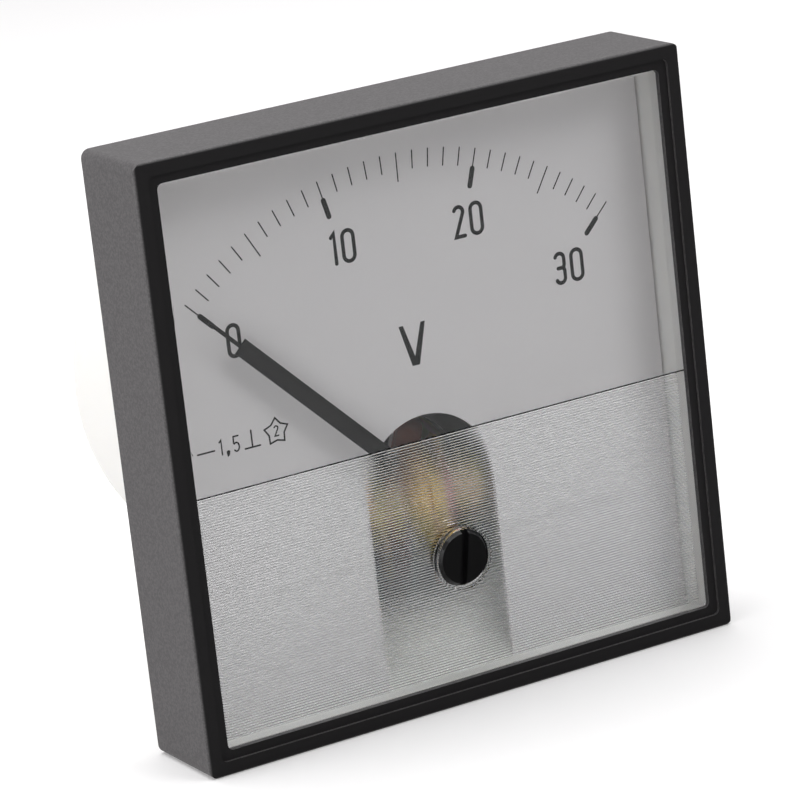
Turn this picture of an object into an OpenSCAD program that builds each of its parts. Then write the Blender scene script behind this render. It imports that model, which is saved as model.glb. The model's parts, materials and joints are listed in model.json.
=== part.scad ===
// Square-front moving-coil panel meter: a black frame with a clear window in front of the panel,
// and a white case with a round barrel behind it that holds a core-magnet movement.
// X runs to the right and Z up as seen from the front, and Y runs back through the panel.
// The origin is the middle of the frame's rear face, which is also the front of the panel.

/* [Front frame] */
// Side of the square frame
front_side = 72; // [66:1:92]
// How far the frame stands in front of the panel
bezel_depth = 13; // [12:0.5:16]
// Radius of the frame's outer corners
corner_r = 1.1; // [0.8:0.1:3]
// Rounding of the frame's front edges
edge_r = 0.4; // [0.2:0.1:0.7]
// Thickness of the frame's side walls
bezel_wall = 1.4; // [1.2:0.1:1.8]
// Width of the flat rim
rim_w = 1.7; // [1.5:0.1:2.6]
// Width of the ledge between the rim and the window
ledge_w = 1.1; // [0.9:0.1:2]
// Drop from the rim to the ledge
rim_step = 0.4; // [0.2:0.1:0.6]
// Thickness of the lip that the window seats on
lip_t = 0.8; // [0.7:0.1:0.9]

/* [Window] */
// Drop from the rim to the window's face
window_drop = 0.7; // [0.6:0.1:1.2]
// Thickness of the window
cover_t = 1.5; // [1.2:0.1:2]
// Rounding of the window's front edges
window_edge_r = 0.3; // [0.2:0.1:0.4]
// Height of the ribbed zone's upper edge
rib_top = -3.8; // [-8:0.1:0]
// Distance from one rib to the next
rib_pitch = 0.315; // [0.3:0.015:0.6]
// Height of the ribs on the window's rear face
rib_depth = 0.075; // [0.05:0.005:0.1]
// Plain border beside and below the ribs
rib_border = 0.6; // [0.5:0.1:3]

/* [Dial] */
// Drop from the rim to the dial's face
dial_drop = 6.8; // [6.4:0.1:7.4]
// Thickness of the dial plate
dial_t = 0.5; // [0.3:0.1:0.6]
// Width of the notch that the movement shows through
notch_w = 17.2; // [16:0.2:22]
// Height of the notch's round top above the pivot's centre
notch_rise = 0.9; // [0:0.1:2]

/* [Rear case] */
// Wall of the square tray
tray_wall = 0.8; // [0.6:0.1:1]
// Width of the ledge that carries the dial
dial_ledge = 1.7; // [1.2:0.1:2.5]
// Thickness of the tray's floor
floor_t = 2; // [1.6:0.1:2.5]
// Diameter of the barrel
barrel_d = 53.5; // [53:0.5:58]
// Length of the barrel behind the panel
barrel_len = 31; // [30:0.5:45]
// Wall of the barrel
barrel_wall = 1.3; // [1:0.1:1.6]
// Thickness of the barrel's end
end_t = 1.8; // [1.4:0.1:2.4]
// Rounding of the barrel's rear edge
rear_edge_r = 1; // [0.5:0.1:1.3]

/* [Fixings] */
// Distance of the mounting studs from the frame's sides
stud_inset = 9; // [7:0.5:9.5]
// Diameter of the mounting studs
stud_d = 3; // [2.5:0.5:4]
// Length of the mounting studs behind the panel
stud_len = 12; // [8:1:20]
// Distance between the terminals
terminal_pitch = 36; // [34:1:38]
// Drop of the terminals below the middle
terminal_drop = 7; // [6:0.5:9]
// Diameter of the terminal studs
terminal_d = 4; // [3:0.5:5]
// Length of the terminal studs behind the barrel
terminal_len = 14; // [12:1:20]

/* [Zero adjuster] */
// Diameter of the slotted head's face
head_d = 6; // [5:0.1:7]
// Width of the screwdriver slot
slot_w = 0.9; // [0.6:0.1:1.2]
// Lean of the slot from upright, in degrees
slot_lean = 9; // [-40:1:40]
// Distance from the movement's axis down to the adjuster's axis
zero_arm = 6.8; // [6:0.1:8]
// Throw of the adjuster's eccentric pin
pin_throw = 0.9; // [0.6:0.1:1]
// Diameter of the eccentric pin
pin_d = 0.9; // [0.6:0.1:1]

/* [Movement] */
// Drop of the movement's axis below the middle
pivot_drop = 11.7; // [10:0.1:12]
// Diameter of the core magnet
core_d = 12; // [10:0.5:12.5]
// Length of the core magnet
core_len = 11; // [9:0.5:12]
// Gap between the core and the coil former
core_gap = 0.4; // [0.3:0.05:0.6]
// Thickness of the coil former
former_t = 0.3; // [0.2:0.05:0.4]
// Thickness of the winding
winding_t = 0.8; // [0.5:0.1:1]
// Width of the coil
coil_w = 4; // [3:0.2:4.6]
// Place of the coil's upper side at the zero mark, clockwise from the top
coil_lean = 20; // [0:1:40]
// Thickness of the iron yoke ring
yoke_t = 3.5; // [2.5:0.1:3.8]
// Wall of the movement's frame
frame_wall = 1.2; // [1:0.1:1.4]

/* [Pointer] */
// Drop from the rim to the pointer
pointer_drop = 4.7; // [4.2:0.1:5.2]
// Length from the axis to the needle's tip
pointer_len = 38.3; // [34:0.1:38.5]
// Length from the axis to the end of the broad bar
bar_len = 33.3; // [24:0.1:33.5]
// Width of the broad bar
bar_w = 2.05; // [1.4:0.05:2.4]
// Width of the needle
needle_w = 0.45; // [0.3:0.05:0.8]
// Thickness of the pointer's sheet
pointer_t = 0.2; // [0.1:0.05:0.3]
// Angle of the zero mark left of upright
zero_mark = 45; // [40:1:50]

/* [Hidden] */
$fn = 72;

// Clearances: moulded parts, set parts that only just slip together, and running parts
mould_gap = 0.1;
slip_gap = 0.02;
run_gap = 0.05;
// Overshoot of a cut past the face that it opens
cut = 1;
// Breadth of a sloping sheet along its radius, in sheet thicknesses
slope_share = 1.1;

// Depths of the front parts, counted from the panel's face
front_y = -bezel_depth;
window_y = front_y + window_drop;
cover_back_y = window_y + cover_t;
lip_y = front_y + rim_step + lip_t;
dial_y = front_y + dial_drop;
dial_back_y = dial_y + dial_t;
pointer_y = front_y + pointer_drop;

// Sides of the square parts
window_side = front_side - 2 * (rim_w + ledge_w);
window_corner_r = 0.7;
cover_side = window_side - 2 * mould_gap;
cavity_side = front_side - 2 * bezel_wall;
// Radius of a rib, from its width and its height
rib_r = (rib_pitch * rib_pitch / 4 + rib_depth * rib_depth) / (2 * rib_depth);
// Groove that ends the ribbed zone
groove_w = 0.2;
groove_depth = 0.3;
tray_side = cavity_side - 2 * mould_gap;
tray_inside = tray_side - 2 * tray_wall;
dial_gap = 0.25;
dial_side = tray_inside - 2 * dial_gap;
barrel_r = barrel_d / 2;
barrel_inside_r = barrel_r - barrel_wall;
end_y = barrel_len - end_t;

// Snap catches inside the frame's rear edge, and the rebate in the tray that clears them
catch_len = 12;
catch_reach = 0.7;
catch_place = front_side / 4;
catch_y = -0.9;
rebate_y = catch_y - mould_gap;
rebate_w = 1.5;

// Movement, from its bridge back to its rear bearing
nut_af = 4.5;
nut_corner_r = nut_af / sqrt(3);
nut_t = 1;
// Round face of a nut as a share of its corner radius, and the lean of its chamfers
nut_face = 0.84;
nut_chamfer = 30;
jewel_screw_r = 1.5;
jewel_slot_w = 0.5;
jewel_slot_depth = 0.5;
// Room in depth between one piece of the movement and the next
depth_gap = 0.4;
bridge_y = dial_back_y + nut_t + depth_gap / 2;
bridge_t = 1.2;
bridge_w = 4;
bridge_boss_r = 3.2;
bridge_back_y = bridge_y + bridge_t;
lever_t = 0.6;
lever_y = bridge_back_y + mould_gap;
spring_t = 0.12;
spring_w = 0.5;
spring_pitch = 0.56;
spring_turns = 6;
spring_r = 1;
spring_out_r = spring_r + spring_turns * spring_pitch;
spring_y = lever_y + lever_t + 1.1;
hub_y = spring_y + spring_w + depth_gap;
coil_y = hub_y + pointer_t + 1.4;
former_y = coil_y + winding_t;
core_y = former_y + former_t + 2 * core_gap;
core_back_y = core_y + core_len;
former_back_y = core_back_y + 2 * core_gap + former_t;
coil_back_y = former_back_y + winding_t;
rear_spring_y = coil_back_y + 1.5;
rear_bridge_y = rear_spring_y + spring_w + 1.3;
rear_bridge_t = 1.6;
rear_bridge_back_y = rear_bridge_y + rear_bridge_t;

// Radii of the movement, from the core outwards
core_r = core_d / 2;
former_in_r = core_r + core_gap;
former_r = former_in_r + former_t;
former_corner = 0.5;
winding_w = coil_w - 2 * former_t;
coil_r = former_r + winding_t;
coil_reach = norm([coil_r, coil_w / 2]);
coil_gap = 0.35;
yoke_in_r = coil_reach + coil_gap;
yoke_r = yoke_in_r + yoke_t;
frame_r = yoke_r + slip_gap + frame_wall;
frame_lip = 1.8;
frame_y = core_y - frame_lip;
// The frame keeps clear of the barrel's bore, on the barrel's own axis
frame_limit_r = barrel_inside_r - mould_gap;

// Travel of the coil, clear of the clamps that hold the core
travel = 98;
overtravel = 4;
clamp_margin = 3;
clamp_place = coil_lean - overtravel + travel / 2 - 90;
clamp_half = (180 - travel) / 2 - asin(coil_w / 2 / former_in_r) - clamp_margin;

// Ears that fasten the movement to the posts in the case
ear_place = 55;
ear_r = 2.8;
ear_reach = frame_r + 2.4;
screw_r = 1.2;
screw_head_r = 2.2;
screw_head_t = 1.2;
screw_depth = 4.5;
screw_slot_w = 0.6;
screw_slot_depth = 0.6;
ear_t = 1.8;
ear_y = rear_bridge_y - ear_t;

// Pillars and screws of the front bridge
pillar_r = 1.7;
pillar_x = frame_r - pillar_r - 0.2;
small_screw_r = 0.8;
small_head_r = 1.4;
small_head_t = 0.7;
small_screw_depth = 3;
small_slot_w = 0.4;
small_slot_depth = 0.35;

// Spindles and their cup jewels
spindle_r = 0.5;
collet_r = 0.9;
seat_r = 1.2;
foot_r = 1.9;
foot_t = 0.3;
tip_len = 0.65;
tip_r = 0.06;
jewel_r = 0.9;
jewel_t = 0.75;
spindle_reach = spring_y - 0.7;
rear_spindle_reach = rear_spring_y + spring_w + 0.7;
front_tip_y = spindle_reach - tip_len;
rear_tip_y = rear_spindle_reach + tip_len;
jewel_floor = 0.15;
front_jewel_y = front_tip_y - jewel_floor;
rear_jewel_y = rear_tip_y + jewel_floor;
cup_r = 0.1;
cup_wall = 0.15;
cup_mouth_r = jewel_r - cup_wall;
cup_depth = jewel_floor - 0.1;

// Pointer: the riser that carries the blade through the dial's notch, the hub and the balance arms
riser_foot = 5.6;
riser_head = notch_w / 2;
pointer_hub_r = 2.2;
arm_w = 0.9;
arm_len = 7.4;
side_arm_len = 6.6;
weight_r = 1;
tail_weight_len = 2.4;
side_weight_len = 1;

// Zero adjuster
zero_z = -pivot_drop - zero_arm;
head_r = head_d / 2;
head_taper = 0.4;
head_base_r = head_r + head_taper;
head_hole_r = head_base_r + mould_gap;
head_t = 1.8;
head_back_y = front_y + head_t;
slot_depth = 0.9;
shaft_r = 1.4;
collar_w = 0.25;
collar_h = 0.6;
guide_len = 1.2;
guide_wall = 1.4;
guide_y = cover_back_y + guide_len;
barb_r = shaft_r + 0.2;
barb_len = 0.5;
pin_y = guide_y + barb_len + mould_gap;
fork_y = pointer_y + mould_gap;
fork_t = 0.6;
pin_end_y = fork_y + fork_t + 0.3;
fork_w = 3.2;
fork_reach = zero_arm + pin_throw + pin_d + 0.4;
fork_foot = bridge_boss_r + 0.5;
fork_head = zero_arm - 0.6;
fork_slot_w = pin_d + 4 * run_gap;
lever_hub_r = 2.6;
tag_t = 0.5;
tag_w = 1.4;
// Direction of the hairsprings' outer ends, clockwise from the top
tag_place = 135;
// The tags' inner faces meet the hairsprings' outer ends
tag_r = spring_out_r + spring_t / 2;
tag_mid = tag_r + tag_t / 2;
tag_x = tag_mid * sin(tag_place);
tag_z = -pivot_drop + tag_mid * cos(tag_place);

// Terminals
terminal_r = terminal_d / 2;
terminal_x = terminal_pitch / 2;
hex_af = 1.75 * terminal_d;
hex_r = hex_af / sqrt(3);
terminal_head_t = 2;
terminal_boss_r = 5.5;
terminal_boss_t = 0.6;
terminal_boss_y = barrel_len + terminal_boss_t;
terminal_tail = 2.8;
washer_r = 4.5;
washer_t = 0.8;
clamp_nut_t = 2.4;
terminal_nut_t = 3.2;
clamp_nut_y = terminal_boss_y + washer_t;
outer_washer_y = clamp_nut_y + clamp_nut_t;
terminal_nut_y = outer_washer_y + washer_t;

// Mounting studs
stud_r = stud_d / 2;
stud_place = front_side / 2 - stud_inset;
// Moulded-in part of the studs: a head and a shank thicker than the thread
anchor_r = stud_r + 1;
anchor_t = 1.6;
anchor_y = dial_back_y + 1.3;
shank_r = stud_r + 0.4;
stud_pad = 9;
// Chamfer on the studs' ends, which the terminals share
stud_tip = 0.4;

// Series resistor and its leads
resistor_r = 1.25;
resistor_len = 6.5;
resistor_x = -8;
lead_r = 0.3;
tag_tail = 1.8;
// The leads run at the depth of the terminal studs' inner ends
resistor_y = end_y - terminal_head_t - 2.3;
wire_r = 0.5;

// ---- helpers ----

// Plate between two depths, with its outline drawn in X and Z
module slab(y0, y1) {
    translate([0, y1, 0]) rotate([90, 0, 0]) linear_extrude(y1 - y0) children();
}

// Turned part about the Y axis, with its outline drawn as radius and depth
module turned() {
    rotate([-90, 0, 0]) rotate_extrude() children();
}

// Disc or ring between two depths
module disc(y0, y1, r, hole_r = 0) {
    turned() translate([hole_r, y0]) square([r - hole_r, y1 - y0]);
}

// Cone between two depths
module cone(y0, y1, r0, r1) {
    turned() polygon([[0, y0], [r0, y0], [r1, y1], [0, y1]]);
}

// Hexagon nut with a round hole, and corners that two cones chamfer
module hex_nut(y0, t, corner, hole_r) {
    face_r = nut_face * corner;
    ridge_r = face_r + t / 2 / tan(nut_chamfer);
    difference() {
        intersection() {
            slab(y0, y0 + t) circle(corner, $fn = 6);
            turned() polygon([
                [0, y0], [face_r, y0], [ridge_r, y0 + t / 2], [face_r, y0 + t], [0, y0 + t]
            ]);
        }
        slab(y0 - cut, y0 + t + cut) circle(hole_r);
    }
}

// Cutter for the upright slot in a screw head whose face is at a depth
module screw_slot(face_y, width, depth, r) {
    translate([-width / 2, face_y - cut, -r - cut]) cube([width, depth + cut, 2 * (r + cut)]);
}

module rounded_square(side, r) {
    square([side, side - 2 * r], center = true);
    square([side - 2 * r, side], center = true);
    for (i = [-1, 1], j = [-1, 1])
        translate([i * (side / 2 - r), j * (side / 2 - r)]) circle(r);
}

// Outline in depth of a block whose two front edges are rounded
module soft_front(side, r, y0, y1) {
    translate([-side / 2, y0 + r]) square([side, y1 - y0 - r]);
    translate([-side / 2 + r, y0]) square([side - 2 * r, y1 - y0]);
    for (i = [-1, 1]) translate([i * (side / 2 - r), y0 + r]) circle(r);
}

// Square block with rounded corners and rounded front edges
module soft_block(side, r, front_r, y0, y1) {
    intersection() {
        slab(y0, y1) rounded_square(side, r);
        linear_extrude(2 * side, center = true) soft_front(side, front_r, y0, y1);
        rotate([0, 90, 0]) linear_extrude(2 * side, center = true)
            soft_front(side, front_r, y0, y1);
    }
}

module at_pivot() {
    translate([0, 0, -pivot_drop]) children();
}

module at_zero_screw() {
    translate([0, 0, zero_z]) children();
}

// Clockwise from the top as seen from the front
module turn(angle) {
    rotate([0, angle, 0]) children();
}

module at_ears() {
    for (side = [-1, 1]) at_pivot() turn(side * ear_place) translate([0, 0, ear_reach]) children();
}

module at_pillars() {
    for (side = [-1, 1]) at_pivot() translate([side * pillar_x, 0, 0]) children();
}

module at_terminals() {
    for (side = [-1, 1]) translate([side * terminal_x, 0, -terminal_drop]) children();
}

module at_studs() {
    for (i = [-1, 1], j = [-1, 1]) translate([i * stud_place, 0, j * stud_place]) children();
}

// Round wire along a list of points, with round elbows
module wire(points, r) {
    for (i = [0 : len(points) - 2]) {
        a = points[i];
        b = points[i + 1];
        run = b - a;
        length = norm(run);
        translate(a)
            rotate([0, acos(run[2] / length), atan2(run[1], run[0])])
                cylinder(h = length, r = r, $fn = 24);
    }
    for (i = [1 : len(points) - 2]) translate(points[i]) sphere(r, $fn = 24);
}

// ---- case ----

module bezel_catch() {
    half = cavity_side / 2;
    root = half + bezel_wall / 2;
    linear_extrude(catch_len, center = true)
        polygon([
            [root, catch_y], [half - catch_reach, catch_y],
            [half, catch_y + catch_reach], [root, catch_y + catch_reach]
        ]);
}

module bezel() {
    color("#232323") {
        difference() {
            soft_block(front_side, corner_r, edge_r, front_y, 0);
            slab(front_y - cut, front_y + rim_step)
                rounded_square(front_side - 2 * rim_w, window_corner_r);
            slab(front_y - cut, lip_y + cut / 2)
                rounded_square(window_side, window_corner_r);
            slab(lip_y, cut) rounded_square(cavity_side, window_corner_r);
        }
        for (side = [0 : 90 : 270], place = [-1, 1])
            turn(side) translate([0, 0, place * catch_place]) bezel_catch();
    }
}

// Ribs and the groove above them are drawn as depth and height, and swept along X
module sweep_across(width) {
    multmatrix([[0, 0, 1, 0], [1, 0, 0, 0], [0, 1, 0, 0], [0, 0, 0, 1]])
        linear_extrude(width, center = true) children();
}

// Cuts the ribbed zone back to the ribs' roots, then sets round-backed ribs side by side in it
module with_ribs() {
    count = floor((rib_top + cover_side / 2 - rib_border) / rib_pitch);
    height = count * rib_pitch;
    width = cover_side - 2 * rib_border;
    root_y = cover_back_y - rib_depth;
    difference() {
        children();
        sweep_across(width) translate([root_y, rib_top - height]) square([cut, height]);
        sweep_across(tray_side - cut) polygon([
            [cover_back_y + cut, rib_top], [cover_back_y, rib_top],
            [cover_back_y - groove_depth, rib_top + groove_w / 2],
            [cover_back_y, rib_top + groove_w], [cover_back_y + cut, rib_top + groove_w]
        ]);
    }
    sweep_across(width) intersection() {
        translate([root_y - mould_gap, rib_top - height]) square([cut, height]);
        for (i = [0 : count - 1])
            translate([cover_back_y - rib_r, rib_top - (i + 0.5) * rib_pitch]) circle(rib_r);
    }
}

module front_cover() {
    color("#dfe6e6", 0.3) difference() {
        union() {
            with_ribs() {
                soft_block(cover_side, window_corner_r, window_edge_r, window_y, cover_back_y);
                slab(lip_y, cover_back_y) rounded_square(tray_side, window_corner_r);
            }
            at_zero_screw() {
                disc(window_y - collar_h, window_y + mould_gap, head_hole_r + collar_w);
                disc(cover_back_y - mould_gap, guide_y, shaft_r + guide_wall);
            }
        }
        at_zero_screw() {
            disc(window_y - collar_h - cut, head_back_y, head_hole_r);
            disc(head_back_y - cut, guide_y + cut, shaft_r + run_gap);
        }
    }
}

module zero_screw() {
    color("#1c1c1d") at_zero_screw() {
        difference() {
            union() {
                cone(front_y, window_y, head_r, head_base_r);
                disc(window_y, head_back_y, head_base_r);
                disc(head_back_y - mould_gap, guide_y + mould_gap, shaft_r);
                cone(guide_y + mould_gap, pin_y, barb_r, shaft_r - 0.2);
            }
            turn(slot_lean) screw_slot(front_y, slot_w, slot_depth, head_base_r);
        }
        translate([0, 0, -pin_throw]) disc(pin_y - barb_len, pin_end_y, pin_d / 2);
    }
}

module stud_anchor(grow = 0) {
    disc(anchor_y - grow, anchor_y + anchor_t + grow, anchor_r + grow);
    disc(anchor_y, 0, shank_r + grow);
}

// Space inside the tray behind the dial, with solid pads left at the corners
module tray_space() {
    pad = stud_pad + (tray_side - tray_inside) / 2;
    difference() {
        rounded_square(tray_inside - 2 * dial_ledge, window_corner_r);
        for (i = [-1, 1], j = [-1, 1])
            translate([i * tray_side / 2, j * tray_side / 2]) square(2 * pad, center = true);
    }
}

module barrel() {
    turned() {
        square([barrel_r, barrel_len - rear_edge_r]);
        square([barrel_r - rear_edge_r, barrel_len]);
        translate([barrel_r - rear_edge_r, barrel_len - rear_edge_r]) circle(rear_edge_r);
    }
}

module rear_case() {
    color("#f1f0ec") difference() {
        union() {
            difference() {
                union() {
                    slab(cover_back_y, rebate_y) rounded_square(tray_side, window_corner_r);
                    slab(rebate_y - cut, 0)
                        rounded_square(tray_side - 2 * rebate_w, window_corner_r);
                    intersection() {
                        barrel();
                        slab(-cut, 2 * barrel_len) square(2 * barrel_d, center = true);
                    }
                }
                slab(cover_back_y - cut, dial_back_y) rounded_square(tray_inside, window_corner_r);
                slab(dial_back_y - cut, -floor_t) tray_space();
                disc(-floor_t - cut, end_y, barrel_inside_r);
            }
            at_ears() disc(rear_bridge_back_y, end_y + cut / 2, ear_r);
            at_terminals() disc(barrel_len - cut, terminal_boss_y, terminal_boss_r);
        }
        at_ears()
            disc(rear_bridge_back_y - cut, rear_bridge_back_y + screw_depth, screw_r + slip_gap);
        at_terminals() disc(end_y - cut, terminal_boss_y + cut, terminal_r + run_gap);
        at_studs() {
            stud_anchor(slip_gap);
            disc(-cut, cut, shank_r + slip_gap);
        }
    }
}

module mounting_studs() {
    color("#c3c6c8") at_studs() {
        stud_anchor();
        disc(-cut, stud_len - stud_tip, stud_r);
        cone(stud_len - stud_tip, stud_len, stud_r, stud_r - stud_tip);
    }
}

module dial_plate() {
    notch_r = notch_w / 2;
    color("#d9dadc") slab(dial_y, dial_back_y) difference() {
        rounded_square(dial_side, window_corner_r - mould_gap);
        translate([0, notch_rise - pivot_drop]) circle(notch_r);
        translate([-notch_r, -front_side]) square([notch_w, front_side + notch_rise - pivot_drop]);
    }
}

// ---- moving coil ----

// Outline in depth of the pointer: a flat hub, a riser through the dial's notch, and the blade
module pointer_profile() {
    blade_y = pointer_y - pointer_t / 2;
    slope = slope_share * pointer_t;
    polygon([
        [-pointer_len, hub_y], [riser_foot, hub_y],
        [riser_head, blade_y], [pointer_len + cut, blade_y],
        [pointer_len + cut, blade_y + pointer_t], [riser_head + slope, blade_y + pointer_t],
        [riser_foot + slope, hub_y + pointer_t], [-pointer_len, hub_y + pointer_t]
    ]);
}

module pointer_outline() {
    difference() {
        union() {
            translate([-bar_w / 2, 0]) square([bar_w, bar_len]);
            translate([-needle_w / 2, 0]) square([needle_w, pointer_len]);
            circle(pointer_hub_r);
            translate([-arm_w / 2, -arm_len]) square([arm_w, arm_len]);
            square([2 * side_arm_len, arm_w], center = true);
        }
        circle(spindle_r + slip_gap);
    }
}

module pointer() {
    color("#1b1b1c") at_pivot() turn(-zero_mark) intersection() {
        slab(pointer_y - cut, hub_y + cut) pointer_outline();
        // The profile is drawn as height and depth, and swept along X
        multmatrix([[0, 0, 1, 0], [0, 1, 0, 0], [1, 0, 0, 0], [0, 0, 0, 1]])
            linear_extrude(4 * side_arm_len, center = true) pointer_profile();
    }
}

// Sleeve crimped on an arm that runs up from the axis
module balance_weight(length) {
    gap = slip_gap;
    difference() {
        cylinder(h = length, r = weight_r, $fn = 32);
        translate([-arm_w / 2 - gap, -pointer_t / 2 - gap, -cut])
            cube([arm_w + 2 * gap, pointer_t + 2 * gap, length + 2 * cut]);
    }
}

module balance_weights() {
    color("#b08d45") at_pivot() turn(-zero_mark) translate([0, hub_y + pointer_t / 2, 0]) {
        turn(180) translate([0, 0, arm_len - tail_weight_len]) balance_weight(tail_weight_len);
        for (side = [-90, 90])
            turn(side) translate([0, 0, side_arm_len - side_weight_len])
                balance_weight(side_weight_len);
    }
}

module front_spindle() {
    color("#8f9296") at_pivot() {
        disc(coil_y - foot_t, coil_y, foot_r);
        disc(hub_y + pointer_t, coil_y, seat_r);
        disc(spindle_reach, coil_y, spindle_r);
        disc(spring_y - mould_gap, hub_y, collet_r);
        cone(spindle_reach - tip_len, spindle_reach, tip_r, spindle_r);
    }
}

module rear_spindle() {
    color("#8f9296") at_pivot() {
        disc(coil_back_y, coil_back_y + foot_t, foot_r);
        disc(coil_back_y, rear_spindle_reach, spindle_r);
        disc(rear_spring_y - mould_gap, rear_spring_y + spring_w + mould_gap, collet_r);
        cone(rear_spindle_reach, rear_spindle_reach + tip_len, spindle_r, tip_r);
    }
}

// Rectangle with round corners, drawn as radius and depth
module coil_outline(r, y0, y1, corner) {
    translate([-r, y0 + corner]) square([2 * r, y1 - y0 - 2 * corner]);
    translate([-r + corner, y0]) square([2 * (r - corner), y1 - y0]);
    for (i = [-1, 1], y = [y0 + corner, y1 - corner])
        translate([i * (r - corner), y]) circle(corner);
}

// Band about the core, cut square across, with an inner corner radius
module coil_band(r, y0, y1, t, corner, width) {
    at_pivot() turn(coil_lean - 90) linear_extrude(width, center = true) difference() {
        coil_outline(r, y0, y1, corner + t);
        coil_outline(r - t, y0 + t, y1 - t, corner);
    }
}

module coil_former() {
    color("#c9cbcd")
        coil_band(former_r, former_y, former_back_y, former_t, former_corner, coil_w);
}

module coil_winding() {
    color("#8a4a2c")
        coil_band(coil_r, coil_y, coil_back_y, winding_t, former_corner + former_t, winding_w);
}

// ---- hairsprings and zero lever ----

// Flat spiral of half rings, each about a centre on the other side of the axis from the last
module hairspring(y) {
    step = spring_pitch / 2;
    for (i = [0 : 2 * spring_turns - 1]) {
        side = i % 2 == 0 ? 1 : -1;
        r = spring_r + (i + 0.5) * step;
        translate([-side * step / 2, y, 0]) rotate([-90, 0, 0])
            rotate_extrude(angle = 180, start = i % 2 == 0 ? 0 : 180)
                translate([r - spring_t / 2, 0]) square([spring_t, spring_w]);
    }
}

module front_hairspring() {
    color("#b9783f") at_pivot() turn(tag_place - 90) hairspring(spring_y);
}

module rear_hairspring() {
    color("#b9783f") at_pivot() turn(tag_place - 90) hairspring(rear_spring_y);
}

// Outline in depth of the fork arm, which rises to the adjuster's pin
module fork_profile() {
    slope = slope_share * fork_t;
    polygon([
        [0, lever_y], [fork_foot, lever_y], [fork_head - slope, fork_y], [fork_reach, fork_y],
        [fork_reach, fork_y + fork_t], [fork_head, fork_y + fork_t],
        [fork_foot + slope, lever_y + lever_t], [0, lever_y + lever_t]
    ]);
}

module fork_outline() {
    difference() {
        translate([-fork_w / 2, 0]) square([fork_w, fork_reach]);
        translate([-fork_slot_w / 2, zero_arm - 0.2]) square([fork_slot_w, fork_reach]);
    }
}

module zero_lever() {
    color("#b59a52") at_pivot() difference() {
        union() {
            disc(lever_y, lever_y + lever_t, lever_hub_r);
            turn(180) intersection() {
                slab(fork_y, lever_y + lever_t) fork_outline();
                multmatrix([[0, 0, 1, 0], [0, 1, 0, 0], [1, 0, 0, 0], [0, 0, 0, 1]])
                    linear_extrude(2 * fork_w, center = true) fork_profile();
            }
            turn(tag_place) {
                translate([-tag_w / 2, lever_y, 0]) cube([tag_w, lever_t, tag_r + tag_t]);
                translate([-tag_w / 2, lever_y, tag_r])
                    cube([tag_w, spring_y + spring_w - lever_y, tag_t]);
            }
        }
        disc(lever_y - cut, lever_y + lever_t + cut, jewel_screw_r + run_gap);
    }
}

// ---- magnet system and frame ----

module core_magnet() {
    color("#6d6f72") at_pivot() disc(core_y, core_back_y, core_r);
}

module core_clamps() {
    reach = 2 * yoke_r;
    color("#9a9da0") at_pivot() for (side = [0, 180]) turn(clamp_place + side) intersection() {
        disc(core_y, core_back_y, yoke_in_r - slip_gap, core_r + slip_gap);
        slab(core_y, core_back_y)
            polygon([[0, 0], [-reach * sin(clamp_half), reach * cos(clamp_half)],
                [reach * sin(clamp_half), reach * cos(clamp_half)]]);
    }
}

module yoke_ring() {
    color("#a99a5f") at_pivot() disc(core_y, core_back_y, yoke_r, yoke_in_r);
}

module ear(y0, y1) {
    root = yoke_r + frame_wall / 2;
    for (side = [-1, 1]) at_pivot() turn(side * ear_place) slab(y0, y1) {
        translate([0, ear_reach]) circle(ear_r);
        translate([-ear_r, root]) square([2 * ear_r, ear_reach - root]);
    }
}

module movement_frame() {
    color("#1f1f20") difference() {
        intersection() {
            union() {
                at_pivot() {
                    disc(frame_y, core_y, frame_r, yoke_in_r);
                    disc(frame_y, rear_bridge_y, frame_r, yoke_r + slip_gap);
                }
                at_pillars() disc(bridge_back_y, frame_y + cut / 2, pillar_r);
                ear(ear_y, rear_bridge_y);
            }
            disc(bridge_back_y, rear_bridge_y, frame_limit_r);
        }
        at_ears() disc(ear_y - cut, rear_bridge_y + cut, screw_r + slip_gap);
        at_pillars()
            disc(bridge_back_y - cut, bridge_back_y + small_screw_depth, small_screw_r + slip_gap);
    }
}

module front_bridge() {
    color("#b3a263") at_pivot() slab(bridge_y, bridge_back_y) difference() {
        union() {
            square([2 * pillar_x, bridge_w], center = true);
            circle(bridge_boss_r);
            for (side = [-1, 1]) translate([side * pillar_x, 0]) circle(bridge_w / 2);
        }
        circle(jewel_screw_r + slip_gap);
        for (side = [-1, 1]) translate([side * pillar_x, 0]) circle(small_screw_r + slip_gap);
    }
}

module front_bridge_screws() {
    head_y = bridge_y - small_head_t;
    color("#c3c6c8") at_pillars() difference() {
        union() {
            disc(head_y, bridge_y, small_head_r);
            disc(head_y, bridge_back_y + small_screw_depth, small_screw_r);
        }
        screw_slot(head_y, small_slot_w, small_slot_depth, small_head_r);
    }
}

// Threaded bearing screw with a slot in its outer end, in front, and a pocket for the jewel
module jewel_screw(outer_y, inner_y, pocket_y) {
    difference() {
        disc(outer_y, inner_y, jewel_screw_r);
        screw_slot(outer_y, jewel_slot_w, jewel_slot_depth, jewel_screw_r);
        disc(pocket_y, inner_y + cut, jewel_r + slip_gap);
    }
}

// Cup jewel that opens to the rear
module cup_jewel(floor_y) {
    difference() {
        disc(floor_y, floor_y + jewel_t, jewel_r);
        cone(floor_y + cup_depth, floor_y + jewel_t + slip_gap, cup_r, cup_mouth_r);
    }
}

// A bearing drawn as in front, turned to face the other way at a depth
module facing_forward(y) {
    translate([0, y, 0]) mirror([0, 1, 0]) children();
}

module front_jewel_screw() {
    color("#b9994e") at_pivot()
        jewel_screw(bridge_y - nut_t - depth_gap, lever_y + lever_t + 0.3, front_jewel_y);
}

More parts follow.
